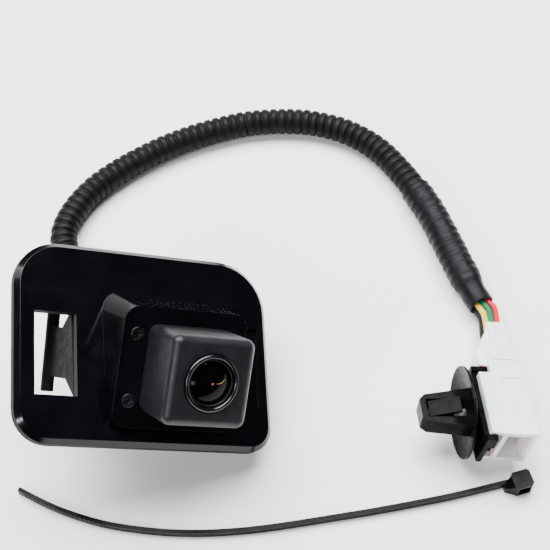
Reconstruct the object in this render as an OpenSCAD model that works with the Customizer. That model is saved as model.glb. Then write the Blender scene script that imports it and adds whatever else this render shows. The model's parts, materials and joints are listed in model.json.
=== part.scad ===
// Backup camera kit: a snap-in bracket with a camera, its lead in a split conduit,
// a plug with a push-in retainer, and one loose cable tie. Millimetres, +Z up.

/* [Bracket] */
// Width of the bracket plate
plate_w = 72; // [70:0.5:76]
// Height of the bracket plate
plate_h = 53; // [52:0.5:56]
// Thickness of the bracket wall
plate_t = 2.2; // [1.8:0.1:2.4]
// Depth of the rim that turns back around the plate
rim_depth = 3.6; // [3:0.1:4.5]
// Width of each snap window
window_w = 11.2; // [10.5:0.1:11.6]
// Height of each snap window
window_h = 21.8; // [21:0.1:23]
// Depth of the snap arms behind the plate
arm_length = 15.6; // [12:0.1:15.6]
// Wall of the snap arm
arm_t = 1.6; // [1.2:0.1:2]

/* [Camera] */
// Side of the square camera housing
camera_w = 22.8; // [22:0.1:23.4]
// How far the camera stands out of its boss
camera_reach = 16.5; // [14:0.5:18]
// Downward tilt of the camera against the plate
camera_tilt = 25; // [22:1:27]
// Radius of the lens bezel
bezel_r = 7.4; // [7:0.1:8]
// Radius of the front lens
lens_r = 5.6; // [5:0.1:6]

/* [Lead] */
// Diameter of the corrugated conduit
conduit_d = 8.2; // [7.5:0.1:8.4]
// Diameter of the heat-shrink sleeve
sleeve_d = 9.6; // [9:0.1:9.8]
// Diameter of each wire
wire_d = 1.7; // [1.4:0.1:1.8]

/* [Plug] */
// Width of the plug body without its rails
plug_w = 9.6; // [9:0.1:10.4]
// Height of the plug body
plug_h = 12.8; // [12.4:0.1:13]
// Length of the plug body
plug_l = 28.5; // [28:0.5:32]
// Radius of the retainer's umbrella disc
disc_r = 12.6; // [12:0.1:12.8]
// Width of the push-in anchor at its base
anchor_w = 12.4; // [11:0.2:13]

/* [Cable tie] */
// Width of the tie's strap
strap_w = 2.6; // [2.4:0.1:3.6]
// Thickness of the tie's strap
strap_t = 1.1; // [1:0.1:1.3]

/* [Hidden] */
$fn = 48;
eps = 0.01;
fit = 0.2;

// Where the kit lies, with the origin below the middle of bracket and tie
table = [-33.5, 5.3, 0];
plate_place = [0, 0, 30.4];
plate_lean = 15.7;
plate_roll = 26.9;
plate_yaw = 10.7;

// Bracket
corner_r = [9, 7, 14, 12];
rim_wall = 1.8;
bevel = 1.3;
window_low = -14.2;
window_left = -31;
window_right = 23.2;
window_right_w = 9.5;
arm_tilt = 17;
arm_gap = 0.35;
arm_w = 13.2;
arm_middle = -3.2;
hook_w = 21.2;
hook_reach = 1.6;
hook_l = 1.9;
arm_lean = 5;
gusset = 4.2;
flare = 5;
right_arm_trim = 1.1;
pocket_depth = 1.3;

// Boss under the camera
boss_low = [-12, -19.3];
boss_high = [22.4, 12.2];
boss_top = 11;
boss_r = 4;
boss_draft = 0.9;
boss_wall = 2;
cavity_low = boss_low + [boss_wall, boss_wall];
cavity_high = boss_high - [3.6, boss_wall];

// Camera
cam = [6.4, -3.5];
cam_r = 2.4;
front_z = boss_top + camera_reach;
split_z = 2;
back_z = -9.5;
wall = 1.7;
flange_z = [7, boss_top - boss_wall - fit];
screw_spots = [[-8.3, 5.1], [-8.3, -12.1]];
screw_head_r = 1.8;
screw_r = 1;
post_inset = 2.9;
pin_screw_r = 0.8;
barrel_r = 6;
barrel_low = 10.5;
board_w = 19.2;
board_t = 1;
sensor_board_z = 7.2;
power_board_z = -1.6;
gland_r = 5.5;
gland_low = back_z - 7.5;
conduit_start_z = back_z - 3.5;

// Lead
conduit_r = conduit_d / 2;
sleeve_r = sleeve_d / 2;
wire_r = wire_d / 2;
tube_sides = 10;
wire_sides = 8;
lead_z = 4.25;
// Route of the conduit along the table
route = [
    [-8.2, 15, 7.4], [-12.4, 20.6, 5.1], [-17.5, 27.4, lead_z], [-22.4, 34.6, lead_z], [-26.8, 42.4, lead_z],
    [-30, 50, lead_z], [-29.8, 56.5, lead_z], [-26.6, 64, lead_z], [-21.5, 71, lead_z],
    [-14.5, 77.2, lead_z], [-6, 83.2, lead_z], [3, 88.2, lead_z], [13, 92.3, lead_z],
    [24, 95.5, lead_z], [36, 96.6, lead_z], [47, 95.5, lead_z], [57, 91.8, lead_z],
    [65.5, 85.5, lead_z], [72, 77, 4.4], [76.6, 69, 4.9]
];
// Route of the sleeve from the conduit's end to the wires
sleeve_route = [
    [76.6, 69, 4.9], [80.6, 61, 4.9], [84.4, 51, 4.9], [87.8, 41.4, 4.9], [90, 35.8, 4.9],
    [91.9, 31, 4.9], [93.4, 27.9, 5]
];
sleeve_radii = [sleeve_r, sleeve_r, sleeve_r, sleeve_r, 4.6, 3.9, 3.9];

// Plug
plug_place = [95.5, -20.2, 12.1];
plug_yaw = 5;
plug_pitch = -8;
plug_roll = 12.4;
rail_w = 3.3;
rail_l = 20;
rail_start = 0.4;
rail_h = 3.6;
rail_lip = 1.1;
rail_step = 0.3;
plug_x = [-(plug_w - rail_w) / 2, (plug_w + rail_w) / 2];
rear_l = 9;
rear_in = 2.4;
rear_w = 5.4;
rear_wall = 0.6;
recess_depth = 0.3;
cheek_y = 22.8;
cheek_w = 2.4;
mouth_l = 14;
plug_wall = 1.3;
cell_pitch = 2.3;
pin_w = 0.64;
pin_tip = 6;
lock_y = 24;
lock_t = 2;
base_t = 1.5;
base_start = 1.6;
block_y = -1.9;
base_gap = 0.3;
base_l = 21;
base_h = plug_h - 2 * rail_lip - 1.6;
plate_half = 4.6;
neck_h = 4.6;
disc_x = plug_x[0] - rail_w - 1.7;
disc_t = 0.9;
disc_y = 10.8;
clip_lean = 6;
anchor_l = 14;
anchor_t = 5.2;
anchor_tip_w = 8.8;
wing_t = 0.9;
wing_w = 5;
wing_l = 8.6;

// Cable tie, resting on the edge of its strap
tie_route = [
    [-35.8, -28], [-25, -33.4], [-13, -37.4], [-2, -39.3], [8, -40.1], [18, -40], [30, -38.9],
    [46, -36.4], [62, -33.6], [78, -30.4], [88, -28], [97.4, -25.6]
];
head_place = [99.8, -26.2, 0];
head_turn = 17;
head_l = 5.4;
head_t = 5;
head_h = 5;
head_cut = 0.7;

// ---- Curves ----

function spline(a, b, c, d, t) = 0.5 * (2 * b + (c - a) * t + (2 * a - 5 * b + 4 * c - d) * t * t
    + (3 * b - a - 3 * c + d) * t * t * t);
function at(p, i) = p[max(0, min(len(p) - 1, i))];
function smooth(p, n) = [
    for (i = [0 : len(p) - 2], k = [0 : n - 1]) spline(at(p, i - 1), p[i], p[i + 1], at(p, i + 2), k / n),
    p[len(p) - 1]
];
function unit(v) = v / norm(v);
function heading(p, i) = unit(at(p, i + 1) - at(p, i - 1));
function aside(t) = unit(cross(t, [0, 0, 1]));
function ring(p, i, r, sides) = let (t = heading(p, i), u = aside(t), v = cross(u, t))
    [for (k = [0 : sides - 1]) p[i] + r * (cos(360 * k / sides) * u + sin(360 * k / sides) * v)];

// A round tube through the points p, with one radius for each point
module tube(p, radii, sides) {
    rings = len(p);
    points = [for (i = [0 : rings - 1]) each ring(p, i, radii[i], sides)];
    walls = [for (i = [0 : rings - 2], k = [0 : sides - 1], half = [0, 1])
        let (a = i * sides + k, b = i * sides + (k + 1) % sides)
        half == 0 ? [a, b, a + sides] : [b, b + sides, a + sides]];
    first = [for (k = [sides - 1 : -1 : 0]) k];
    last = [for (k = [0 : sides - 1]) (rings - 1) * sides + k];
    polyhedron(points, concat([first], walls, [last]));
}

module even_tube(p, r, sides) {
    tube(p, [for (q = p) r], sides);
}

// Rounded rectangle from low to high, with radii for its four corners from low-left anticlockwise
function corner_arc(c, r, from) = [for (a = [0 : 9 : 90]) c + r * [cos(from + a), sin(from + a)]];
function outline(low, high, r, inset = 0) = let (
    q = [for (v = r) max(v - inset, 0.4)],
    a = low + [inset, inset],
    b = high - [inset, inset])
    concat(
        corner_arc([a[0] + q[0], a[1] + q[0]], q[0], 180),
        corner_arc([b[0] - q[1], a[1] + q[1]], q[1], 270),
        corner_arc([b[0] - q[2], b[1] - q[2]], q[2], 0),
        corner_arc([a[0] + q[3], b[1] - q[3]], q[3], 90));

module slab(points, z0, z1) {
    translate([0, 0, z0]) linear_extrude(z1 - z0) polygon(points);
}

module block(low, high) {
    translate(low) cube(high - low);
}

module ring_part(r_out, r_in, z0, z1) {
    difference() {
        translate([0, 0, z0]) cylinder(r = r_out, h = z1 - z0);
        translate([0, 0, z0 - 1]) cylinder(r = r_in, h = z1 - z0 + 2);
    }
}

// ---- Frames ----

module plate_frame() {
    translate(table + plate_place) rotate([plate_lean, plate_roll, plate_yaw]) children();
}

module camera_frame() {
    plate_frame() rotate([camera_tilt, 0, 0]) children();
}

module lens_frame() {
    camera_frame() translate([cam[0], cam[1], 0]) children();
}

module plug_frame() {
    translate(table + plug_place) rotate([0, 0, plug_yaw]) rotate([plug_pitch, 0, 0])
        rotate([0, plug_roll, 0]) children();
}

module tie_head_frame() {
    translate(table + head_place) rotate([0, 0, head_turn]) children();
}

// ---- Bracket ----

plate_low = [-plate_w / 2, -plate_h / 2];
plate_high = [plate_w / 2, plate_h / 2];

module plate_shell() {
    difference() {
        hull() {
            slab(outline(plate_low, plate_high, corner_r), -rim_depth, -bevel);
            slab(outline(plate_low, plate_high, corner_r, bevel), -bevel, 0);
        }
        slab(outline(plate_low, plate_high, corner_r, rim_wall), -rim_depth - 1, -plate_t);
    }
}

// Prism of the boss along the camera's axis, wider at its foot
module boss_prism(low, high, r, top) {
    hull() {
        slab(outline(low, high, [r, r, r, r]), top - 0.1, top);
        slab(outline(low, high, [r, r, r, r], -boss_draft), -11, -10);
    }
}

module window(x, w) {
    block([x, window_low, -rim_depth - 1], [x + w, window_low + window_h, 1]);
}

module bracket_plate() {
    color([0.03, 0.03, 0.035]) plate_frame() difference() {
        union() {
            plate_shell();
            intersection() {
                rotate([camera_tilt, 0, 0]) boss_prism(boss_low, boss_high, boss_r, boss_top);
                block([-plate_w / 2, -plate_h / 2, -1], [plate_w / 2, plate_h / 2, 30]);
            }
        }
        rotate([camera_tilt, 0, 0]) {
            boss_prism(cavity_low, cavity_high, boss_r - boss_wall, boss_top - boss_wall);
            translate([cam[0], cam[1], 0]) slab(camera_outline(-fit), 0, boss_top + 1);
            for (s = screw_spots) translate([s[0], s[1], 0]) cylinder(r = screw_r + 0.1, h = boss_top + 1);
        }
        window(window_left, window_w);
        block([window_right, window_low, -pocket_depth],
            [window_right + window_right_w, window_low + window_h, 1]);
    }
}

// Depth of the plate's back face in the arms' frame
function plate_back(y) = -(plate_t + (y + arm_middle) * sin(arm_tilt)) / cos(arm_tilt) - arm_gap;

// Snap arm that runs back from the inner edge of its window, leaning out under it; side is -1 at the left
module snap_arm(side, edge, length) {
    tail = -length;
    foot = arm_w / 2 + gusset;
    inner = -side * arm_t;
    far = side * hook_reach;
    plate_frame() rotate([arm_tilt, 0, 0]) translate([edge, arm_middle, 0]) rotate([0, -side * arm_lean, 0]) {
        rotate([90, 0, 90]) translate([0, 0, min(0, inner)]) linear_extrude(arm_t)
            polygon([[-foot, plate_back(-foot)], [foot, plate_back(foot)], [foot, plate_back(foot) - 1],
                [arm_w / 2, plate_back(foot) - flare], [arm_w / 2, tail], [-arm_w / 2, tail],
                [-arm_w / 2, plate_back(-foot) - flare - 2], [-foot, plate_back(-foot) - 1]]);
        translate([0, hook_w / 2, 0]) rotate([90, 0, 0]) linear_extrude(hook_w)
            polygon([[inner, tail + 0.5], [0, tail + 0.5], [far, tail], [far, tail - 1.1],
                [0, tail - hook_l], [inner, tail - hook_l]]);
    }
}

module left_snap_arm() {
    color([0.05, 0.05, 0.055]) snap_arm(-1, window_left + window_w, arm_length);
}

module right_snap_arm() {
    color([0.05, 0.05, 0.055]) snap_arm(1, window_right, arm_length - right_arm_trim);
}

module bracket_screws() {
    color([0.1, 0.1, 0.11]) camera_frame() for (s = screw_spots) translate([s[0], s[1], 0]) {
        difference() {
            translate([0, 0, boss_top + eps]) cylinder(r = screw_head_r, h = 1);
            translate([0, 0, boss_top + 0.5]) for (a = [0, 90]) rotate(a)
                translate([-1.1, -0.2, 0]) cube([2.2, 0.4, 1]);
        }
        translate([0, 0, 4]) cylinder(r = screw_r - 0.05, h = boss_top - 4 + 0.1);
    }
}

// ---- Camera ----

function camera_outline(inset) = outline(
    [-camera_w / 2, -camera_w / 2], [camera_w / 2, camera_w / 2], [1, 1, 1, 1] * cam_r, inset);

module corner_posts(r, z0, z1) {
    reach = camera_w / 2 - post_inset;
    for (x = [-reach, reach], y = [-reach, reach]) translate([x, y, z0]) cylinder(r = r, h = z1 - z0);
}

module camera_front_housing() {
    color([0.17, 0.17, 0.18]) camera_frame() difference() {
        union() {
            translate([cam[0], cam[1], 0]) {
                slab(camera_outline(0), split_z, front_z - cam_r);
                hull() for (x = [-1, 1], y = [-1, 1])
                    translate([x, y, 0] * (camera_w / 2 - cam_r) + [0, 0, front_z - cam_r])
                        sphere(r = cam_r, $fn = 32);
            }
            slab(outline(cavity_low, cavity_high, [1, 1, 1, 1] * (boss_r - boss_wall), 0.4),
                flange_z[0], flange_z[1]);
            for (s = screw_spots) translate([s[0], s[1], 3.4]) cylinder(r = 2, h = flange_z[1] - 3.4);
        }
        for (s = screw_spots) translate([s[0], s[1], 2.5]) cylinder(r = screw_r, h = 8);
        translate([cam[0], cam[1], 0]) {
            difference() {
                slab(camera_outline(wall), split_z - 1, front_z - 2.6);
                corner_posts(2, split_z, front_z);
            }
            corner_posts(pin_screw_r - 0.05, split_z - 1, 9);
            slab(camera_outline(wall - 0.8), split_z - 1, split_z + 0.5);
            cylinder(r = barrel_r + fit, h = front_z + 1);
            translate([0, 0, front_z - 2.15]) cylinder(r = bezel_r + 0.1, h = 3);
        }
    }
}

module camera_rear_cover() {
    color([0.15, 0.15, 0.16]) lens_frame() difference() {
        slab(camera_outline(0), back_z, split_z - eps);
        difference() {
            slab(camera_outline(wall), back_z + wall, split_z + 1);
            corner_posts(2, back_z, split_z);
        }
        slab(camera_outline(wall - 0.8), split_z - 0.5, split_z + 1);
        corner_posts(pin_screw_r + 0.15, back_z - 1, split_z + 1);
        corner_posts(1.6, back_z - 1, back_z + 1.2);
        translate([0, 0, back_z - 1]) cylinder(r = 4.3, h = wall + 2);
    }
}

module housing_screws() {
    color([0.5, 0.5, 0.52]) lens_frame() difference() {
        union() {
            corner_posts(1.5, back_z + 0.1, back_z + 1.2);
            corner_posts(pin_screw_r - 0.1, back_z + 1, 8.5);
        }
        reach = camera_w / 2 - post_inset;
        for (x = [-reach, reach], y = [-reach, reach], a = [0, 90]) translate([x, y, back_z]) rotate(a)
            translate([-0.9, -0.18, -0.1]) cube([1.8, 0.36, 0.7]);
    }
}

module housing_gasket() {
    color([0.08, 0.08, 0.08]) lens_frame() difference() {
        slab(camera_outline(wall - 0.7), split_z - 0.45, split_z + 0.45);
        slab(camera_outline(wall - 0.05), split_z - 1, split_z + 1);
    }
}

module lens_bezel() {
    color([0.05, 0.05, 0.055]) lens_frame() difference() {
        union() {
            translate([0, 0, front_z - 1.5]) cylinder(r = bezel_r, h = 1.6);
            translate([0, 0, front_z]) rotate_extrude() translate([bezel_r - 1, 0]) circle(r = 0.8, $fn = 24);
        }
        translate([0, 0, front_z - 3]) cylinder(r = barrel_r + 0.05, h = 6);
    }
}

module lens_seal_ring() {
    color([0.1, 0.1, 0.1]) lens_frame()
        translate([0, 0, front_z - 2.1]) ring_part(7.2, barrel_r + 0.25, 0, 0.45);
}

module lens_barrel() {
    color([0.07, 0.07, 0.075]) lens_frame() difference() {
        translate([0, 0, barrel_low]) cylinder(r = barrel_r, h = front_z - barrel_low - 0.2);
        translate([0, 0, front_z - 3.4]) cylinder(r = lens_r, h = 5);
        translate([0, 0, 16]) cylinder(r = 4.2, h = 7.2);
        translate([0, 0, barrel_low - 1]) cylinder(r = 3.2, h = 6.5);
        translate([0, 0, 14]) cylinder(r = 2, h = 12);
    }
}

// Biconvex lens of radius r between heights z0 and z1
module lens(r, z0, z1, bulge) {
    ball = (r * r + bulge * bulge) / (2 * bulge);
    intersection() {
        translate([0, 0, z0]) cylinder(r = r, h = z1 - z0);
        translate([0, 0, z1 - ball]) sphere(r = ball, $fn = 96);
    }
}

module front_lens() {
    color([0.25, 0.3, 0.4]) lens_frame() lens(lens_r - 0.05, front_z - 3.3, front_z + 0.9, 1.7);
}

module middle_lens() {
    color([0.35, 0.4, 0.5]) lens_frame() lens(4.1, 19, 21.4, 0.9);
}

module rear_lens() {
    color([0.35, 0.4, 0.5]) lens_frame() lens(3.1, 11.4, 13.9, 0.7);
}

module lens_holder() {
    color([0.12, 0.12, 0.12]) lens_frame() difference() {
        union() {
            block([-6.6, -6.6, sensor_board_z + board_t + eps], [6.6, 6.6, 11]);
            translate([0, 0, 11 - eps]) cylinder(r = 7.1, h = 6);
        }
        translate([0, 0, barrel_low - 0.2]) cylinder(r = barrel_r + 0.05, h = 8);
        block([-5, -5, sensor_board_z], [5, 5, barrel_low]);
    }
}

module image_sensor() {
    color([0.3, 0.25, 0.35]) lens_frame()
        block([-3.6, -3, sensor_board_z + board_t + eps], [3.6, 3, sensor_board_z + board_t + 1.1]);
}

module board(z) {
    difference() {
        slab(outline([-board_w / 2, -board_w / 2], [board_w / 2, board_w / 2], [1, 1, 1, 1]), z, z + board_t);
        corner_posts(2.25, z - 1, z + board_t + 1);
    }
}

module sensor_board() {
    color([0.05, 0.3, 0.15]) lens_frame() board(sensor_board_z);
}

module power_board() {
    color([0.05, 0.3, 0.15]) lens_frame() board(power_board_z);
}

module board_link() {
    color([0.1, 0.1, 0.1]) lens_frame()
        block([-6, -8, power_board_z + board_t + eps], [6, -5.5, sensor_board_z - eps]);
}

module lead_header() {
    color([0.85, 0.84, 0.8]) lens_frame() difference() {
        block([-5, -1.6, power_board_z - 3.6], [5, 1.6, power_board_z - eps]);
        block([-4.2, -0.9, power_board_z - 4], [4.2, 0.9, power_board_z - 1]);
    }
}

module inner_leads() {
    color([0.7, 0.2, 0.15]) lens_frame() for (x = [-0.8, 0.8], y = [-0.8, 0.8])
        translate([x, y, conduit_start_z + 0.1]) cylinder(r = 0.5, h = power_board_z - 3.7 - conduit_start_z);
}

module cable_gland() {
    color([0.07, 0.07, 0.07]) lens_frame() difference() {
        union() {
            translate([0, 0, back_z + wall]) cylinder(r = gland_r, h = 1);
            translate([0, 0, back_z - 1]) cylinder(r = 4.25, h = wall + 2);
            translate([0, 0, gland_low]) cylinder(r = gland_r, h = back_z - gland_low - eps);
        }
        translate([0, 0, gland_low - 1]) cylinder(r = conduit_r, h = conduit_start_z - gland_low + 1);
        translate([0, 0, conduit_start_z - 1]) cylinder(r = 2.2, h = 10);
    }
}

// ---- Lead ----

function turn(v, a) = let (
    x = [v[0], v[1] * cos(a[0]) - v[2] * sin(a[0]), v[1] * sin(a[0]) + v[2] * cos(a[0])],
    y = [x[0] * cos(a[1]) + x[2] * sin(a[1]), x[1], x[2] * cos(a[1]) - x[0] * sin(a[1])])
    [y[0] * cos(a[2]) - y[1] * sin(a[2]), y[0] * sin(a[2]) + y[1] * cos(a[2]), y[2]];
function camera_point(z) = plate_place
    + turn([cam[0], cam[1], z], [plate_lean + camera_tilt, plate_roll, plate_yaw]);

// Straight out of the gland along the camera's axis, then down on to the table
conduit_points = concat(
    [camera_point(conduit_start_z), camera_point(gland_low), camera_point(gland_low - 5)], route);

module conduit() {
    color([0.05, 0.05, 0.055]) translate(table) even_tube(smooth(conduit_points, 2), conduit_r, tube_sides);
}

module heat_shrink_sleeve() {
    color([0.06, 0.06, 0.065]) translate(table) tube(sleeve_route, sleeve_radii, tube_sides);
}

// Wire number n of four, from the end of the sleeve into its cell of the plug
module wire(n) {
    last = len(sleeve_route) - 1;
    along = heading(sleeve_route, last);
    exit = sleeve_route[last] + aside(along) * (1.5 - n) * wire_d * 0.6 + [0, 0, n % 2 == 0 ? -0.95 : 0.95];
    cell = plug_place + turn_plug([pin_x(n), plug_l - 1.9, pin_z(n)]);
    before = plug_place + turn_plug([pin_x(n), plug_l + 5, pin_z(n)]);
    points = [exit, exit + along * 4, before, cell];
    even_tube(smooth(points, 2), wire_r, wire_sides);
}

function turn_plug(v) = turn(turn(v, [0, plug_roll, 0]), [plug_pitch, 0, plug_yaw]);

module black_wire() {
    color([0.04, 0.04, 0.04]) translate(table) wire(0);
}

module yellow_wire() {
    color([0.85, 0.78, 0.2]) translate(table) wire(1);
}

module green_wire() {
    color([0.05, 0.5, 0.3]) translate(table) wire(2);
}

module red_wire() {
    color([0.8, 0.08, 0.1]) translate(table) wire(3);
}

// ---- Plug ----

module plug_housing() {
    half = plug_h / 2;
    left = plug_x[0];
    color([0.93, 0.93, 0.92]) plug_frame() difference() {
        union() {
            slab_xy(plug_x, [0, plug_l], [-half, half]);
            rotate([90, 0, 90]) translate([0, 0, left + rear_in]) linear_extrude(rear_w)
                polygon([[plug_l - 1, -half], [plug_l, -half], [plug_l + rear_l, half - 1],
                    [plug_l + rear_l, half], [plug_l - 1, half]]);
            translate([0, 0, -1]) linear_extrude(half)
                polygon([[left + 1, cheek_y], [left - cheek_w, cheek_y], [left - cheek_w, cheek_y + 4],
                    [left + rear_in, plug_l + rear_l - 1.5], [left + rear_in + 0.5, plug_l - 1]]);
            for (s = [-1, 1]) rail(s, half);
        }
        block([left + plug_wall, -1, -half + plug_wall], [plug_x[1] - plug_wall, mouth_l, half - plug_wall]);
        block([left + rear_in + rear_wall, plug_l + 2, -half - 1],
            [left + rear_in + rear_w - rear_wall, plug_l + rear_l + 1, half - 1.3]);
        block([left + rear_in + rear_wall, plug_l - 2, -3.2],
            [left + rear_in + rear_w - rear_wall, plug_l + 3, 3.2]);
        block([left + 1.6, 20.4, half - recess_depth], [plug_x[1] - 0.9, 24.6, half + 1]);
        block([left + 3.4, 25.8, half - 2 * recess_depth], [left + 4, 27.2, half + 1]);
        block([left + 3, 16.2, half - recess_depth], [plug_x[1] - 1.8, 18.4, half + 1]);
        block([plug_x[1] - 0.6, 19, -half + 2], [plug_x[1] + 1, 25.4, half - 2]);
        block([left - 1, lock_y - fit, -half - 1], [plug_x[1] - 2, lock_y + lock_t + fit, -half + 3.2]);
        for (n = [0 : 3]) translate([pin_x(n), mouth_l - 1, pin_z(n)]) rotate([-90, 0, 0])
            cylinder(r = 0.9, h = plug_l - mouth_l);
    }
}

// Cells two by two: the first two wires enter at the rail's side, every other one in the lower row
function pin_x(n) = plug_x[0] + rear_in + rear_w / 2 + (n < 2 ? -1 : 1) * cell_pitch / 2;
function pin_z(n) = (n % 2 == 0 ? -1 : 1) * cell_pitch / 2;

module slab_xy(x, y, z) {
    block([x[0], y[0], z[0]], [x[1], y[1], z[1]]);
}

// One of the two rails that hold the retainer; side is 1 at the top, -1 at the bottom
module rail(side, half) {
    outer = plug_x[0] - rail_w;
    top = half - rail_step;
    slab_xy([outer, plug_x[0] + 0.5], [rail_start, rail_l],
        side > 0 ? [top - rail_lip, top] : [-half, -half + rail_lip]);
    slab_xy([outer, outer + 1], [rail_start, rail_l],
        side > 0 ? [top - rail_h, top] : [-half, -half + rail_h]);
}

module plug_pins() {
    color([0.75, 0.65, 0.35]) plug_frame() for (n = [0 : 3])
        translate([pin_x(n), 0, pin_z(n)])
            block([-pin_w / 2, pin_tip, -pin_w / 2], [pin_w / 2, mouth_l + 6, pin_w / 2]);
}

module pin_lock() {
    color([0.9, 0.9, 0.88]) plug_frame()
        slab_xy([plug_x[0] + 0.3, plug_x[1] - 2.4], [lock_y, lock_y + lock_t],
            [-plug_h / 2, -plug_h / 2 + 2.8]);
}

// ---- Retainer ----

anchor_x = -disc_t;
anchor_end = anchor_x - anchor_l;

module retainer_clip() {
    inner = plug_x[0] - base_gap;
    outer = plug_x[0] - rail_w - base_gap;
    color([0.05, 0.05, 0.055]) plug_frame() {
        slab_xy([inner - base_t, inner], [base_start, base_l], [-base_h / 2, base_h / 2]);
        slab_xy([outer - eps, inner - base_t + eps], [base_start, base_l], [-neck_h / 2, neck_h / 2]);
        slab_xy([disc_x, outer], [block_y, base_l], [-plate_half, plate_half]);
        slab_xy([disc_x, inner], [base_l - eps, base_l + 1.4], [-1, plug_h / 2 - 1]);
        slab_xy([disc_x, disc_x + 3], [block_y, rail_start - 0.3], [2, plug_h / 2 - 0.6]);
        clip_frame() {
            rotate([0, -90, 0]) umbrella();
            anchor_frame();
        }
    }
}

// Middle of the disc, with X against the anchor
module clip_frame() {
    translate([disc_x + 0.3, disc_y, 0]) rotate([0, -clip_lean, 0]) children();
}

// Thin dome that spreads towards the anchor
module umbrella() {
    rotate_extrude() polygon([[0, 0], [5, 0], [disc_r, 2.6], [disc_r, 3.3], [5, disc_t], [0, disc_t]]);
}

// Hollow arrowhead that the wings hang on
module anchor_frame() {
    difference() {
        translate([0, 0, -anchor_t / 2]) linear_extrude(anchor_t) polygon([
            [anchor_x + eps, -anchor_w / 2], [anchor_x + eps, anchor_w / 2],
            [anchor_end + 1.5, anchor_tip_w / 2], [anchor_end, anchor_tip_w / 2 - 1.5],
            [anchor_end, 1.5 - anchor_tip_w / 2], [anchor_end + 1.5, -anchor_tip_w / 2]]);
        slab_xy([anchor_end + 1.6, anchor_x - 2], [-1, 1] * (wing_w / 2 + 0.35), [-anchor_t, anchor_t]);
    }
}

// Sprung barb of the anchor; side is 1 above, -1 below
module wing(side) {
    plug_frame() clip_frame() rotate([90, 0, 0]) translate([0, 0, -wing_w / 2]) linear_extrude(wing_w)
        polygon([[anchor_end + 2.1, side * 1.2], [anchor_end + 2.1, side * (1.2 + wing_t)],
            [anchor_end + 2.1 + wing_l, side * (3.6 + wing_t)], [anchor_end + 2.1 + wing_l, side * 3.6]]);
}

module upper_anchor_wing() {
    color([0.05, 0.05, 0.055]) wing(1);
}

module lower_anchor_wing() {
    color([0.05, 0.05, 0.055]) wing(-1);
}

// ---- Cable tie ----

function side_points(p, reach) = [
    for (i = [0 : len(p) - 1]) let (t = heading(p, i)) p[i] + reach * [-t[1], t[0]]];

module tie_strap() {
    p = smooth(tie_route, 4);
    color([0.05, 0.05, 0.055]) {
        translate(table) linear_extrude(strap_w) polygon(concat(
            side_points(p, strap_t / 2),
            [for (i = [len(p) - 1 : -1 : 0]) side_points(p, -strap_t / 2)[i]]));
        tie_head_frame() difference() {
            union() {
                slab([[-head_l / 2, -head_t / 2 + head_cut], [-head_l / 2 + head_cut, -head_t / 2],
                    [head_l / 2 - head_cut, -head_t / 2], [head_l / 2, -head_t / 2 + head_cut],
                    [head_l / 2, head_t / 2 - head_cut], [head_l / 2 - head_cut, head_t / 2],
                    [-head_l / 2 + head_cut, head_t / 2], [-head_l / 2, head_t / 2 - head_cut]], 0, head_h);
                hull() {
                    block([-head_l / 2 - 2, -strap_t / 2, 0], [-head_l / 2 - 1.9, strap_t / 2, strap_w]);
                    block([-head_l / 2 - eps, -head_t / 2 + head_cut, 0],
                        [-head_l / 2 + 0.3, head_t / 2 - head_cut, head_h - 0.6]);
                }
            }
            block([-1.6, -head_t / 2 - 1, 0.9], [1.6, head_t / 2 + 1, head_h - 0.9]);
        }
    }
}

module tie_pawl() {
    color([0.05, 0.05, 0.055]) tie_head_frame()
        slab([[-1.5, -1.7], [-0.9, -1.7], [0.1, 1.1], [-0.5, 1.3]], 1, head_h - 1);
}

bracket_plate();
left_snap_arm();
right_snap_arm();
bracket_screws();
camera_front_housing();
camera_rear_cover();
housing_screws();
housing_gasket();
lens_bezel();
lens_seal_ring();
lens_barrel();
front_lens();
middle_lens();
rear_lens();
lens_holder();
image_sensor();
sensor_board();
board_link();
power_board();
lead_header();
inner_leads();
cable_gland();
conduit();
heat_shrink_sleeve();
black_wire();
yellow_wire();
green_wire();
red_wire();
plug_housing();
plug_pins();
pin_lock();
retainer_clip();
upper_anchor_wing();
lower_anchor_wing();
tie_strap();
tie_pawl();
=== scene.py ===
import json
import math
import bmesh
import bpy
from mathutils import Matrix, Vector, noise

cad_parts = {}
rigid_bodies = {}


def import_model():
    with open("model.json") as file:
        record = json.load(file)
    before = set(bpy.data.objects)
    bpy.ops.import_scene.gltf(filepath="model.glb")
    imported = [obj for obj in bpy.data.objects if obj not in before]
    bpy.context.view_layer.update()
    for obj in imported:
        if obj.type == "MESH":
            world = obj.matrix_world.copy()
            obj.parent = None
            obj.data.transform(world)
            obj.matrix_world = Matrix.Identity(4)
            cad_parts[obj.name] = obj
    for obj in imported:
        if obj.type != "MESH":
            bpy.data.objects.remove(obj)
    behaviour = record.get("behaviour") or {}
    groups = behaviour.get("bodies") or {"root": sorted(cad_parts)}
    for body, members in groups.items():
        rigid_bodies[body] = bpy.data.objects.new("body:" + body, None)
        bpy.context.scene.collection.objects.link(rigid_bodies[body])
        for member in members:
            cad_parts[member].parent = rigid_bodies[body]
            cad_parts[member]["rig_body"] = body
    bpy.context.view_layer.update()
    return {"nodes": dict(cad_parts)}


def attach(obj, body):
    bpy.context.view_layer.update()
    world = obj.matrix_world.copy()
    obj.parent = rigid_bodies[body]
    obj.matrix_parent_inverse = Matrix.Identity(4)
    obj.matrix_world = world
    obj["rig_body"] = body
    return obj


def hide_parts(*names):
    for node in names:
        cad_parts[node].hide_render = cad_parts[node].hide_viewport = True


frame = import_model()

# Lengths are millimetres until they reach a mesh, as in the part's source.
MM = 0.001

# ---- Places, the same as in the part's source ----

# The plate's reference point on the table
TABLE = Vector((-33.5, 5.3, 0))
# The camera's middle on the boss, and the height of its front face
CAMERA_MIDDLE = (6.4, -3.5)
FRONT_Z = 27.5
BARREL_R = 6.0
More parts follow.
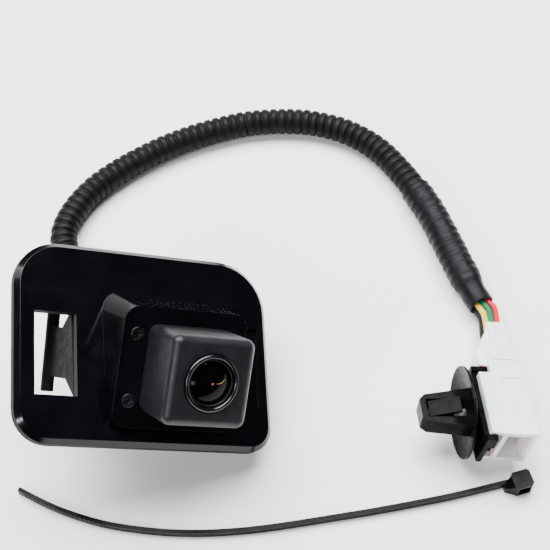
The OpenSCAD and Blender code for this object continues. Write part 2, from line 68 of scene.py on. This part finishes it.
# The lead's outer radii, and the height of its centreline on the table
CONDUIT_R = 4.1
SLEEVE_R = 4.8
WIRE_R = 0.85
LEAD_Z = 4.25


def turned(x, y, z):
    """Turns about X, then Y, then Z, in degrees."""
    return (Matrix.Rotation(math.radians(z), 4, "Z") @ Matrix.Rotation(math.radians(y), 4, "Y")
            @ Matrix.Rotation(math.radians(x), 4, "X"))


def moved(*v):
    return Matrix.Translation(Vector(v))


ON_TABLE = Matrix.Translation(TABLE)
PLATE = ON_TABLE @ moved(0, 0, 30.4) @ turned(15.7, 26.9, 10.7)
BOSS = PLATE @ turned(25, 0, 0)
LENS = BOSS @ moved(*CAMERA_MIDDLE, 0)
PLUG = ON_TABLE @ moved(95.5, -20.2, 12.1) @ turned(0, 0, 5) @ turned(-8, 0, 0) @ turned(0, 12.4, 0)

# The lead from under the plate to its sleeve, the sleeve, and the tie, from the plate's reference point
ROUTE = [
    (-8.2, 15, 7.4), (-12.4, 20.6, 5.1), (-17.5, 27.4, LEAD_Z), (-22.4, 34.6, LEAD_Z),
    (-26.8, 42.4, LEAD_Z), (-30, 50, LEAD_Z), (-29.8, 56.5, LEAD_Z), (-26.6, 64, LEAD_Z),
    (-21.5, 71, LEAD_Z), (-14.5, 77.2, LEAD_Z), (-6, 83.2, LEAD_Z), (3, 88.2, LEAD_Z), (13, 92.3, LEAD_Z),
    (24, 95.5, LEAD_Z), (36, 96.6, LEAD_Z), (47, 95.5, LEAD_Z), (57, 91.8, LEAD_Z),
    (65.5, 85.5, LEAD_Z), (72, 77, 4.4), (76.6, 69, 4.9),
]
SLEEVE_ROUTE = [
    (76.6, 69, 4.9), (80.6, 61, 4.9), (84.4, 51, 4.9), (87.8, 41.4, 4.9), (90, 35.8, 4.9),
    (91.9, 31, 4.9), (93.4, 27.9, 5),
]
TIE_ROUTE = [
    (-35.8, -28), (-25, -33.4), (-13, -37.4), (-2, -39.3), (8, -40.1), (18, -40), (30, -38.9),
    (46, -36.4), (62, -33.6), (78, -30.4), (88, -28), (97.4, -25.6),
]

# ---- Camera ----

VIEW_LENS = 85.1
VIEW_FROM = Vector((33.3, -164.8, 330.1))
VIEW_TILT = 32

camera_data = bpy.data.cameras.new("view")
camera_data.lens = VIEW_LENS
camera_data.sensor_width = 36
camera_data.clip_start = 0.01
camera = bpy.data.objects.new("view", camera_data)
camera.location = (TABLE + VIEW_FROM) * MM
camera.rotation_euler = (math.radians(VIEW_TILT), 0, 0)
bpy.context.scene.collection.objects.link(camera)
bpy.context.scene.camera = camera


# ---- Materials ----

class Shader:
    """A Principled material with helpers for procedural detail."""

    def __init__(self, name, color, roughness, **sockets):
        self.material = bpy.data.materials.new(name)
        self.material.use_nodes = True
        self.tree = self.material.node_tree
        self.main = self.tree.nodes["Principled BSDF"]
        self.main.inputs["Base Color"].default_value = (*color, 1)
        self.main.inputs["Roughness"].default_value = roughness
        for socket, value in sockets.items():
            self.main.inputs[socket.replace("_", " ")].default_value = value
        self.color = color
        self.roughness = roughness
        self.normal = None
        self.place = self.node("ShaderNodeTexCoord").outputs["Object"]

    def node(self, kind, **values):
        made = self.tree.nodes.new(kind)
        for key, value in values.items():
            setattr(made, key, value)
        return made

    def link(self, a, b):
        self.tree.links.new(a, b)

    def noise(self, scale):
        made = self.node("ShaderNodeTexNoise")
        made.inputs["Scale"].default_value = scale
        made.inputs["Detail"].default_value = 3
        made.inputs["Roughness"].default_value = 0.55
        self.link(self.place, made.inputs["Vector"])
        return made.outputs["Fac"]

    def ramp(self, value, low, high, start, end):
        made = self.node("ShaderNodeMapRange", interpolation_type="SMOOTHSTEP")
        self.link(value, made.inputs["Value"])
        for socket, number in zip(("From Min", "From Max", "To Min", "To Max"), (low, high, start, end)):
            made.inputs[socket].default_value = number
        return made.outputs["Result"]

    def mottle(self, scale, amount, other):
        """Drifts the colour towards another one."""
        mix = self.node("ShaderNodeMix", data_type="RGBA")
        self.link(self.ramp(self.noise(scale), 0.35, 0.7, 0, amount), mix.inputs["Factor"])
        mix.inputs["A"].default_value = (*self.color, 1)
        mix.inputs["B"].default_value = (*other, 1)
        self.link(mix.outputs["Result"], self.main.inputs["Base Color"])
        return self

    def wear(self, scale, spread):
        """Varies the roughness around its own value."""
        low, high = self.roughness - spread, self.roughness + spread
        self.link(self.ramp(self.noise(scale), 0.3, 0.7, low, high), self.main.inputs["Roughness"])
        return self

    def bump(self, height, depth):
        """Adds a bump layer over the ones before it; depth is in metres."""
        bump = self.node("ShaderNodeBump")
        bump.inputs["Strength"].default_value = 1
        bump.inputs["Distance"].default_value = depth
        self.link(height, bump.inputs["Height"])
        if self.normal:
            self.link(self.normal, bump.inputs["Normal"])
        self.normal = bump.outputs["Normal"]
        self.link(self.normal, self.main.inputs["Normal"])
        return self

    def grain(self, scale, depth):
        """Adds an even grain with features about 1/scale apart."""
        return self.bump(self.noise(scale), depth)

    def bands(self, scale, depth):
        """Adds fine parallel lines, as from machining or a die."""
        wave = self.node("ShaderNodeTexWave", bands_direction="Z")
        wave.inputs["Scale"].default_value = scale
        wave.inputs["Distortion"].default_value = 0.6
        self.link(self.place, wave.inputs["Vector"])
        return self.bump(wave.outputs["Fac"], depth)


def make_materials():
    made = {}

    def add(name, *args, **sockets):
        made[name] = Shader(name, *args, **sockets)
        return made[name]

    add("gloss_black", (0.001, 0.0008, 0.0016), 0.14, Specular_IOR_Level=0.3) \
        .mottle(90, 0.5, (0.003, 0.002, 0.004)).wear(140, 0.04).grain(45, 0.00006).grain(420, 0.000002)
    add("black_nylon", (0.0015, 0.0015, 0.002), 0.28, Specular_IOR_Level=0.04) \
        .mottle(260, 0.7, (0.006, 0.006, 0.007)).wear(500, 0.08).grain(1500, 0.00002).grain(120, 0.00008)
    add("rim_black", (0.002, 0.002, 0.0025), 0.55, Specular_IOR_Level=0.08) \
        .mottle(200, 0.7, (0.004, 0.004, 0.005)).grain(1500, 0.00001)
    add("arm_black", (0.003, 0.003, 0.0035), 0.6, Specular_IOR_Level=0.08) \
        .mottle(260, 0.7, (0.006, 0.006, 0.007)).wear(500, 0.08).grain(1500, 0.00002)
    add("black_steel", (0.003, 0.003, 0.004), 0.3, Specular_IOR_Level=0.3) \
        .wear(900, 0.1).grain(3000, 0.00001)
    add("charcoal_body", (0.006, 0.0056, 0.0075), 0.4, Specular_IOR_Level=0.28) \
        .mottle(160, 0.55, (0.0085, 0.008, 0.0105)).wear(420, 0.06) \
        .grain(5200, 0.000012).grain(1100, 0.000012)
    add("steel", (0.5, 0.5, 0.51), 0.3, Metallic=1).wear(900, 0.1).bands(900, 0.000006)
    add("black_rubber", (0.006, 0.006, 0.006), 0.6, Specular_IOR_Level=0.3) \
        .mottle(300, 0.6, (0.012, 0.0115, 0.011)).grain(2400, 0.00002)
    add("bezel_black", (0.002, 0.002, 0.003), 0.2, Specular_IOR_Level=0.5) \
        .wear(700, 0.04).grain(3000, 0.000004)
    add("barrel_black", (0.002, 0.002, 0.002), 0.4, Specular_IOR_Level=0.2) \
        .wear(600, 0.08).bands(1400, 0.00003)
    add("lens_glass", (0.9, 0.93, 1.0), 0.03, Transmission_Weight=1.0, IOR=1.5, Coat_Weight=0.2) \
        .grain(300, 0.000002)
    # Opaque near-black glass for the front dome: painted shade standing for the dark inside of the lens,
    # seen through clear glass
    add("glass_painted_dark", (0.0008, 0.0006, 0.001), 0.1, Specular_IOR_Level=0.1).grain(300, 0.000002)
    add("glint_pink", (0.55, 0.03, 0.12), 0.4).mottle(3000, 0.5, (0.35, 0.02, 0.08))
    add("glint_yellow", (0.35, 0.26, 0.06), 0.4).mottle(2000, 0.5, (0.25, 0.14, 0.04))
    add("sensor_glass", (0.06, 0.04, 0.09), 0.12, Coat_Weight=0.6) \
        .mottle(900, 0.6, (0.10, 0.08, 0.05)).wear(500, 0.03)
    add("board_green", (0.01, 0.11, 0.05), 0.35, Coat_Weight=0.3) \
        .mottle(700, 0.8, (0.02, 0.17, 0.08)).grain(1200, 0.00003)
    add("ivory_nylon", (0.72, 0.69, 0.6), 0.4) \
        .mottle(400, 0.5, (0.66, 0.62, 0.52)).grain(1600, 0.00001)
    add("conduit_black", (0.003, 0.003, 0.0036), 0.5, Specular_IOR_Level=0.1) \
        .mottle(260, 0.8, (0.007, 0.007, 0.008)).wear(500, 0.09).grain(1700, 0.00003).grain(260, 0.00006)
    add("heat_shrink", (0.004, 0.004, 0.005), 0.44, Specular_IOR_Level=0.1) \
        .mottle(150, 0.7, (0.008, 0.008, 0.01)).wear(260, 0.08).grain(1300, 0.00003).grain(170, 0.00012)
    add("clear_nylon", (0.9, 0.9, 0.905), 0.32, Subsurface_Weight=0.3, Subsurface_Scale=0.003) \
        .mottle(110, 0.6, (0.84, 0.845, 0.86)).wear(300, 0.07).grain(220, 0.00006).grain(2200, 0.00001)
    add("tinned_brass", (0.7, 0.6, 0.36), 0.28, Metallic=1) \
        .mottle(900, 0.5, (0.6, 0.5, 0.3)).bands(1500, 0.000006)
    add("tie_nylon", (0.0015, 0.0015, 0.002), 0.26, Specular_IOR_Level=0.05) \
        .mottle(220, 0.7, (0.006, 0.006, 0.0065)).wear(300, 0.08).grain(1500, 0.00002).grain(160, 0.00007)
    insulation = {
        "black_wire": (0.012, 0.012, 0.013), "yellow_wire": (0.68, 0.5, 0.06),
        "green_wire": (0.0, 0.17, 0.07), "red_wire": (0.55, 0.008, 0.025),
    }
    for name, color in insulation.items():
        darker = tuple(c * 0.8 for c in color)
        add(name, color, 0.45, Specular_IOR_Level=0.25) \
            .mottle(400, 0.6, darker).wear(500, 0.06).grain(700, 0.00003)
    return made


shaders = make_materials()


def material(name):
    return shaders[name].material


# ---- Mesh building ----

# Points closer than these, in metres, are one point
WELD = 1e-7
CAD_WELD = 2e-6
# Facets of a CAD face that turn less than this are joined, and edges that turn more than this stay sharp
FLAT_ANGLE = math.radians(0.6)
SHARP_ANGLE = math.radians(50)


def piece(name, verts, faces, look, place, body, slot=None, smooth=True, sharp=40):
    """A mesh piece from points in millimetres in the frame place."""
    mesh = bpy.data.meshes.new(name)
    mesh.from_pydata([(place @ Vector(v)) * MM for v in verts], [], faces)
    bm = bmesh.new()
    bm.from_mesh(mesh)
    bmesh.ops.remove_doubles(bm, verts=bm.verts, dist=WELD)
    bmesh.ops.recalc_face_normals(bm, faces=bm.faces)
    bm.to_mesh(mesh)
    bm.free()
    if smooth:
        mesh.shade_smooth()
        mesh.set_sharp_from_angle(angle=math.radians(sharp))
    mesh.materials.append(material(look))
    made = bpy.data.objects.new(name, mesh)
    bpy.context.scene.collection.objects.link(made)
    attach(made, body)
    return made


def soften(made, width, segments, angle):
    """Rounds the piece's edges; width is in millimetres, and angle is the least turn of an edge."""
    bevel = made.modifiers.new("edges", "BEVEL")
    bevel.width = width * MM
    bevel.segments = segments
    bevel.limit_method = "ANGLE"
    bevel.angle_limit = math.radians(angle)
    bevel.miter_outer = "MITER_ARC"
    made.modifiers.new("normals", "WEIGHTED_NORMAL").keep_sharp = True


def rounded(node, look, width, segments=3, angle=32):
    """A copy of a CAD node with rounded edges, which stands for that node."""
    source = frame["nodes"][node]
    mesh = source.data.copy()
    mesh.materials.clear()
    mesh.materials.append(material(look))
    bm = bmesh.new()
    bm.from_mesh(mesh)
    bmesh.ops.remove_doubles(bm, verts=bm.verts, dist=CAD_WELD)
    bmesh.ops.dissolve_limit(bm, angle_limit=FLAT_ANGLE, verts=bm.verts, edges=bm.edges)
    for face in bm.faces:
        face.smooth = True
    bm.to_mesh(mesh)
    bm.free()
    mesh.normals_split_custom_set([(0, 0, 0)] * len(mesh.loops))
    mesh.set_sharp_from_angle(angle=SHARP_ANGLE)
    made = bpy.data.objects.new(node + "_shell", mesh)
    bpy.context.scene.collection.objects.link(made)
    soften(made, width, segments, angle)
    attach(made, source["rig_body"])
    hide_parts(node)
    return made


def rings_to_faces(rings, sides, closed_ends=True):
    """Faces between rings of points that follow each other in one list."""
    faces = []
    for low in range(0, (rings - 1) * sides, sides):
        high = low + sides
        faces += [(low + k, low + (k + 1) % sides, high + (k + 1) % sides, high + k) for k in range(sides)]
    if closed_ends:
        faces.append(tuple(reversed(range(sides))))
        faces.append(tuple((rings - 1) * sides + k for k in range(sides)))
    return faces


def lathe(name, profile, look, place, body, sides=72, closed_ends=True, **options):
    """Turns a profile of (radius, height) about the frame's Z axis."""
    turns = [2 * math.pi * k / sides for k in range(sides)]
    verts = [(r * math.cos(a), r * math.sin(a), z) for r, z in profile for a in turns]
    faces = rings_to_faces(len(profile), sides, closed_ends)
    return piece(name, verts, faces, look, place, body, **options)


def arc(x, y, r, start, end, steps):
    turns = [math.radians(start + (end - start) * k / steps) for k in range(steps + 1)]
    return [(x + r * math.cos(a), y + r * math.sin(a)) for a in turns]


def spline(points, per_span):
    """A smooth curve through the points."""
    pts = [Vector(p) for p in points]

    def at(i):
        return pts[max(0, min(len(pts) - 1, i))]

    out = []
    for i in range(len(pts) - 1):
        a, b, c, d = at(i - 1), at(i), at(i + 1), at(i + 2)
        for k in range(per_span):
            t = k / per_span
            out.append(0.5 * (2 * b + (c - a) * t + (2 * a - 5 * b + 4 * c - d) * t * t
                              + (3 * b - a - 3 * c + d) * t * t * t))
    return out + [pts[-1]]


class Line:
    """A smooth line that gives its point and axes at any distance along it."""

    def __init__(self, points, per_span=24):
        self.points = spline(points, per_span)
        self.marks = [0.0]
        for a, b in zip(self.points, self.points[1:]):
            self.marks.append(self.marks[-1] + (b - a).length)
        self.length = self.marks[-1]
        self.last = 0

    def point(self, s):
        s = max(0.0, min(self.length, s))
        while self.last > 0 and self.marks[self.last] > s:
            self.last -= 1
        while self.last < len(self.marks) - 2 and self.marks[self.last + 1] < s:
            self.last += 1
        i = self.last
        span = self.marks[i + 1] - self.marks[i]
        return self.points[i].lerp(self.points[i + 1], (s - self.marks[i]) / span)

    def axes(self, s):
        along = (self.point(s + 0.6) - self.point(s - 0.6)).normalized()
        aside = along.cross(Vector((0, 0, 1))).normalized()
        return along, aside, aside.cross(along)


def tube(name, line, steps, radius, look, body, sides=20, angles=None, **options):
    """A tube along a line: steps lists (distance, inset), and radius(s, angle) gives the surface."""
    angles = angles or [2 * math.pi * k / sides for k in range(sides)]
    verts = []
    for s, offset in steps:
        _, aside, up = line.axes(s)
        centre = line.point(s)
        for a in angles:
            r = radius(s, a) - offset
            verts.append(centre + r * (math.cos(a) * aside + math.sin(a) * up))
    return piece(name, verts, rings_to_faces(len(steps), len(angles)), look, ON_TABLE, body, **options)


# ---- Lead: conduit, sleeve and wires ----

RIB_PITCH = 2.6
RIB_DEPTH = 0.62
# Where the rings lie along one rib
RIB_PHASES = (0.0, 0.10, 0.2, 0.3, 0.42, 0.58, 0.7, 0.8, 0.9)
SLIT_ANGLE = math.radians(250)
SLIT_DEPTH = 0.55
# Heights of the lead's first points on the camera's axis, from the gland down
GLAND_HEIGHTS = (-13, -17, -22)


def gland_point(z):
    """A point on the camera's axis, from the plate's reference point."""
    return ON_TABLE.inverted() @ LENS @ Vector((0, 0, z))


def rib(s):
    """Height of the corrugation at distance s: flat ribs with narrow rounded grooves."""
    phase = (s / RIB_PITCH) % 1.0
    groove = abs(phase - 0.5) * 2
    t = max(0.0, min(1.0, (1 - groove) / 0.55))
    return RIB_DEPTH * (t * t * (3 - 2 * t) - 1)


def make_conduit():
    line = Line([gland_point(z) for z in GLAND_HEIGHTS] + ROUTE)
    ribs = range(int(line.length / RIB_PITCH) + 1)
    marks = [(n + phase) * RIB_PITCH for n in ribs for phase in RIB_PHASES]
    steps = [(s, 0.0) for s in marks if s < line.length] + [(line.length, 0.0)]
    sides = 26
    slit_room = math.radians(8)
    slit = [SLIT_ANGLE + math.radians(a) for a in (-5, -2.2, -1.6, 1.6, 2.2, 5)]
    plain = [2 * math.pi * k / sides for k in range(sides)]
    angles = sorted([a for a in plain if abs(a - SLIT_ANGLE) > slit_room] + slit)
    wobble_depth = 0.05
    # Keeps the uneven surface inside the plain tube that it stands for
    inset = 0.06

    def radius(s, a):
        """Ribs with a slight unevenness, and the slit."""
        wobble = wobble_depth * noise.noise(Vector((s * 0.21, a, 3.1)))
        cut = SLIT_DEPTH if abs(a - SLIT_ANGLE) < math.radians(2) else 0.0
        return CONDUIT_R + rib(s) + wobble - cut - inset

    made = tube("conduit_ribbed", line, steps, radius, "conduit_black", "kit", angles=angles, sharp=75)
    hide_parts("conduit")
    return made, line


def make_sleeve():
    line = Line(SLEEVE_ROUTE)
    wide_end = 34.0
    neck_start = 39.5
    neck_r = 3.9
    wall = 0.45
    # Keeps the creases inside the plain tube that it stands for
    inset = 0.08

    def radius(s, a):
        """Shrinks from the conduit's size to the neck, with the ribs showing through and creases."""
        t = max(0.0, min(1.0, (s - wide_end) / (neck_start - wide_end)))
        r = SLEEVE_R + (neck_r - SLEEVE_R) * t * t * (3 - 2 * t)
        under = 0.14 * (math.cos(2 * math.pi * s / RIB_PITCH) - 1) * (1 - t)
        creases = 0.16 * noise.noise(Vector((s * 0.35, math.cos(a) * 1.6, math.sin(a) * 1.6)))
        creases += 0.12 * t * noise.noise(Vector((s * 0.3, math.cos(a) * 4, math.sin(a) * 4)))
        return min(r + under + creases, r + inset) - inset

    end = line.length
    steps = [(0.0, 0.75), (0.0, 0.16), (0.12, 0.03)]
    steps += [(0.4 + (end - 0.8) * k / 70, 0.0) for k in range(71)]
    steps += [(end - 0.1, 0.05), (end, 0.2), (end, wall), (end - 0.3, wall + 0.1), (end - 4, wall + 0.15)]
    made = tube("heat_shrink_shell", line, steps, radius, "heat_shrink", "kit", sides=40, sharp=60)
    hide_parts("heat_shrink_sleeve")
    return made, line


# Middle of the plug's rear in its own X, half the pitch of its cells, and three places along its Y
REAR_MIDDLE = 1.95
CELL = 1.15
REAR_Y = 37.2
FAN_END_Y = 33.2
CELL_Y = 26.8
# For each wire: its place in the sleeve's end, its place at the plug's rear, and its cell
WIRES = [
    ("black_wire", (2.0, -1.35), (-1.9, 0.2), (-CELL, -CELL)),
    ("yellow_wire", (1.35, 0.75), (-1.35, 2.5), (-CELL, CELL)),
    ("green_wire", (-0.3, 0.9), (0.25, 2.1), (CELL, -CELL)),
    ("red_wire", (-1.95, 0.8), (1.75, 2.5), (CELL, CELL)),
]


def wire_radius(s, a):
    """Insulation that is slightly uneven."""
    return WIRE_R + 0.02 * noise.noise(Vector((s * 0.5, a, 1.7)))


def make_wires(sleeve_line):
    made = []
    along, aside, up = sleeve_line.axes(sleeve_line.length - 0.8)
    centre = sleeve_line.point(sleeve_line.length)
    to_lead = ON_TABLE.inverted() @ PLUG
    for name, (side, lift), (rear_x, rear_z), (cell_x, cell_z) in WIRES:
        start = centre + aside * side + up * lift
        inside = start - along * 4
        fan = start + along * 3.4 + aside * side * 0.12
        rear = to_lead @ Vector((REAR_MIDDLE + rear_x, REAR_Y, rear_z))
        fan_end = to_lead @ Vector((REAR_MIDDLE + cell_x, FAN_END_Y, cell_z))
        cell = to_lead @ Vector((REAR_MIDDLE + cell_x, CELL_Y, cell_z))
        line = Line([inside, start, fan, rear, fan_end, cell], 12)
        steps = [(line.length * k / 48, 0.0) for k in range(49)]
        wire = tube(name + "_insulation", line, steps, wire_radius, name, "kit", sides=16)
        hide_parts(name)
        made.append(wire)
    return made


conduit, conduit_line = make_conduit()
sleeve, sleeve_line = make_sleeve()
wires = make_wires(sleeve_line)


# ---- Bracket ----

def make_bracket():
    """The glossy plate, whose sides and back are duller."""
    # Faces that turn away from the plate's front at least this far, and lie no higher than its front face
    side_facing = 0.35
    front_skin = 0.1
    bracket = rounded("bracket_plate", "gloss_black", 0.7, segments=4, angle=35)
    bracket.data.materials.append(material("rim_black"))
    plate_up = PLATE.to_3x3() @ Vector((0, 0, 1))
    for polygon in bracket.data.polygons:
        height = (PLATE.inverted() @ (polygon.center / MM)).z
        if polygon.normal.dot(plate_up) < side_facing and height < front_skin:
            polygon.material_index = 1


make_bracket()
for side in ("left", "right"):
    rounded(side + "_snap_arm", "arm_black", 0.28)
rounded("bracket_screws", "black_steel", 0.18, angle=40)

# ---- Camera ----

rounded("camera_front_housing", "charcoal_body", 0.3, segments=2, angle=40)
rounded("camera_rear_cover", "charcoal_body", 0.3, segments=2, angle=40)
rounded("cable_gland", "black_rubber", 0.3, angle=50)


def turned_part(name, node, profile, look, slot):
    """A lathed ring or tube round the lens's axis, which stands for that node."""
    made = lathe(name, profile, look, LENS, "kit", closed_ends=False, slot=slot)
    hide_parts(node)


def make_lens():
    """The bezel, the barrel, the domed front glass painted near-black as painted shade for the dark inside
    of the lens, and a dot and a streak of light on it.
    """
    top = FRONT_Z
    ring = [(BARREL_R + 0.1, top - 1.9), (BARREL_R + 0.1, top + 0.1)]
    ring += arc(6.72, top + 0.15, 0.6, 180, 0, 10)
    ring += [(7.32, top - 0.2), (7.32, top - 1.5), (BARREL_R + 0.1, top - 1.9)]
    turned_part("bezel_ring", "lens_bezel", ring, "bezel_black", "gloss_black")
    barrel = [
        (2.0, 12), (2.0, 23.6), (4.4, 24.0), (5.5, top - 3.5), (5.5, top - 0.7), (5.58, top - 0.35),
        (5.8, top - 0.2), (5.95, top - 0.35), (5.99, top - 1.5), (5.99, 11), (5.4, 10.6), (2.4, 10.6),
        (2.0, 12),
    ]
    turned_part("barrel_tube", "lens_barrel", barrel, "barrel_black", "black_nylon")
    curve_r = 10.1
    edge_z = top - 0.8
    glass_r = 5.5
    drop = curve_r - math.sqrt(curve_r ** 2 - glass_r ** 2)
    middle_r = 0.02
    slopes = [math.asin(glass_r / curve_r) * k / 24 for k in range(25)]
    crown_z = edge_z + drop
    dome = [(max(middle_r, curve_r * math.sin(a)), crown_z - curve_r * (1 - math.cos(a))) for a in slopes]
    back = [(glass_r, edge_z - 1.4), (4.2, edge_z - 1.7), (2.5, edge_z - 1.3), (middle_r, edge_z - 1.1)]
    # The front dome is opaque and near-black, with painted shade in place of the dark lens interior behind
    # clear glass
    glass = lathe("front_glass", dome + back, "glass_painted_dark", LENS, "kit", sides=96, sharp=30,
                  slot="lens_glass")
    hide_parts("front_lens")

    def on_dome(x, y):
        """A point just above the glass."""
        return (x, y, crown_z - curve_r + math.sqrt(curve_r ** 2 - (x * x + y * y)) + 0.02)

    dot = [on_dome(r, 0)[::2] for r in (0.26, 0.2, 0.12, middle_r)]
    lathe("iris_glint", dot, "glint_pink", LENS @ moved(-0.1, 0, 0), "kit", sides=24, closed_ends=False,
          slot="lens_glass")
    streak = Line([on_dome(x, y) for x, y in ((0.8, 0.1), (1.8, 0.15), (2.7, 0.6), (3.4, 1.3))], 8)
    rings = 21
    sides = 8
    turns = [2 * math.pi * k / sides for k in range(sides)]
    verts = []
    for n in range(rings):
        s = streak.length * n / (rings - 1)
        _, aside, up = streak.axes(s)
        thin = 0.055 * math.sin(math.pi * (0.06 + 0.88 * s / streak.length))
        verts += [streak.point(s) + thin * (math.cos(a) * aside + math.sin(a) * up) for a in turns]
    piece("coating_glint", verts, rings_to_faces(rings, sides), "glint_yellow", LENS, "kit",
          slot="lens_glass")


make_lens()

# ---- Plug and its retainer ----

rounded("plug_housing", "clear_nylon", 0.3, segments=3, angle=40)
rounded("pin_lock", "clear_nylon", 0.2)
rounded("retainer_clip", "black_nylon", 0.22, segments=2, angle=40)
rounded("upper_anchor_wing", "black_nylon", 0.15)
rounded("lower_anchor_wing", "black_nylon", 0.15)

# ---- Cable tie ----

rounded("tie_strap", "tie_nylon", 0.3, segments=3, angle=40)
rounded("tie_pawl", "tie_nylon", 0.1)


def make_tie_teeth():
    """The fine teeth on one side of the strap near its tip."""
    teeth = 19
    pitch = 1.3
    first_tooth = 2.5
    half_width = 0.85
    middle_z = 1.3
    line = Line([(x, y, middle_z) for x, y in TIE_ROUTE])
    section = [(-0.42, 0.5), (0.1, 0.68), (0.22, 0.66), (0.3, 0.5)]
    verts = []
    faces = []
    for n in range(teeth):
        s = first_tooth + pitch * n
        along, aside, _ = line.axes(s)
        first = len(verts)
        for z in (-half_width, half_width):
            verts += [line.point(s) + along * a + aside * b + Vector((0, 0, z)) for a, b in section]
        faces += [(first + k, first + k + 1, first + k + 5, first + k + 4) for k in range(3)]
        faces += [(first, first + 4, first + 7, first + 3), tuple(first + k for k in range(4)),
                  tuple(first + 4 + k for k in range(4))]
    piece("tie_teeth", verts, faces, "tie_nylon", ON_TABLE, "tie", smooth=False)


make_tie_teeth()

# ---- Materials for the CAD nodes that stay ----

NODE_LOOKS = {
    "housing_screws": "steel", "housing_gasket": "black_rubber", "lens_seal_ring": "black_rubber",
    "middle_lens": "lens_glass", "rear_lens": "lens_glass", "lens_holder": "black_nylon",
    "image_sensor": "sensor_glass", "sensor_board": "board_green", "power_board": "board_green",
    "board_link": "black_nylon", "lead_header": "ivory_nylon", "inner_leads": "red_wire",
    "plug_pins": "tinned_brass",
}
for node, look in NODE_LOOKS.items():
    for place in frame["nodes"][node].material_slots:
        place.material = material(look)

# ---- Cord ----

PATH_SPANS = 90
marks = [conduit_line.length * k / PATH_SPANS for k in range(PATH_SPANS + 1)]
path = [(ON_TABLE @ conduit_line.point(s)) * MM for s in marks]

# ---- Floor and light ----

# Half the floor's width, where the lights point, and the world's brightness; lengths here are metres
FLOOR_HALF = 3
LIT_PLACE = Vector((0, 0.02, 0.02))
WORLD_STRENGTH = 0.07


def make_floor():
    h = FLOOR_HALF
    mesh = bpy.data.meshes.new("floor")
    mesh.from_pydata([(-h, -h, 0), (h, -h, 0), (h, h, 0), (-h, h, 0)], [], [(0, 1, 2, 3)])
    mesh.materials.append(Shader("floor_paper", (0.97, 0.97, 0.97), 0.9).material)
    floor = bpy.data.objects.new("floor", mesh)
    bpy.context.scene.collection.objects.link(floor)


def area_light(name, place, size, power):
    """A rectangular light that points at the object."""
    data = bpy.data.lights.new(name, "AREA")
    data.shape = "RECTANGLE"
    data.size, data.size_y = size
    data.energy = power
    made = bpy.data.objects.new(name, data)
    made.location = place
    made.rotation_euler = (LIT_PLACE - Vector(place)).to_track_quat("-Z", "Y").to_euler()
    bpy.context.scene.collection.objects.link(made)


def make_world():
    world = bpy.data.worlds.new("studio")
    world.use_nodes = True
    background = world.node_tree.nodes["Background"]
    background.inputs["Color"].default_value = (1, 1, 1, 1)
    background.inputs["Strength"].default_value = WORLD_STRENGTH
    bpy.context.scene.world = world


make_floor()
area_light("top_softbox", (-0.1, 0.55, 1.2), (1.6, 1.0), 82)
area_light("left_softbox", (-0.9, 0.5, 0.9), (0.3, 0.8), 3)
area_light("front_softbox", (-0.35, -1.0, 1.0), (0.6, 0.25), 4)
area_light("edge_strip", (-0.7, -0.6, 0.9), (0.12, 0.6), 7)
make_world()
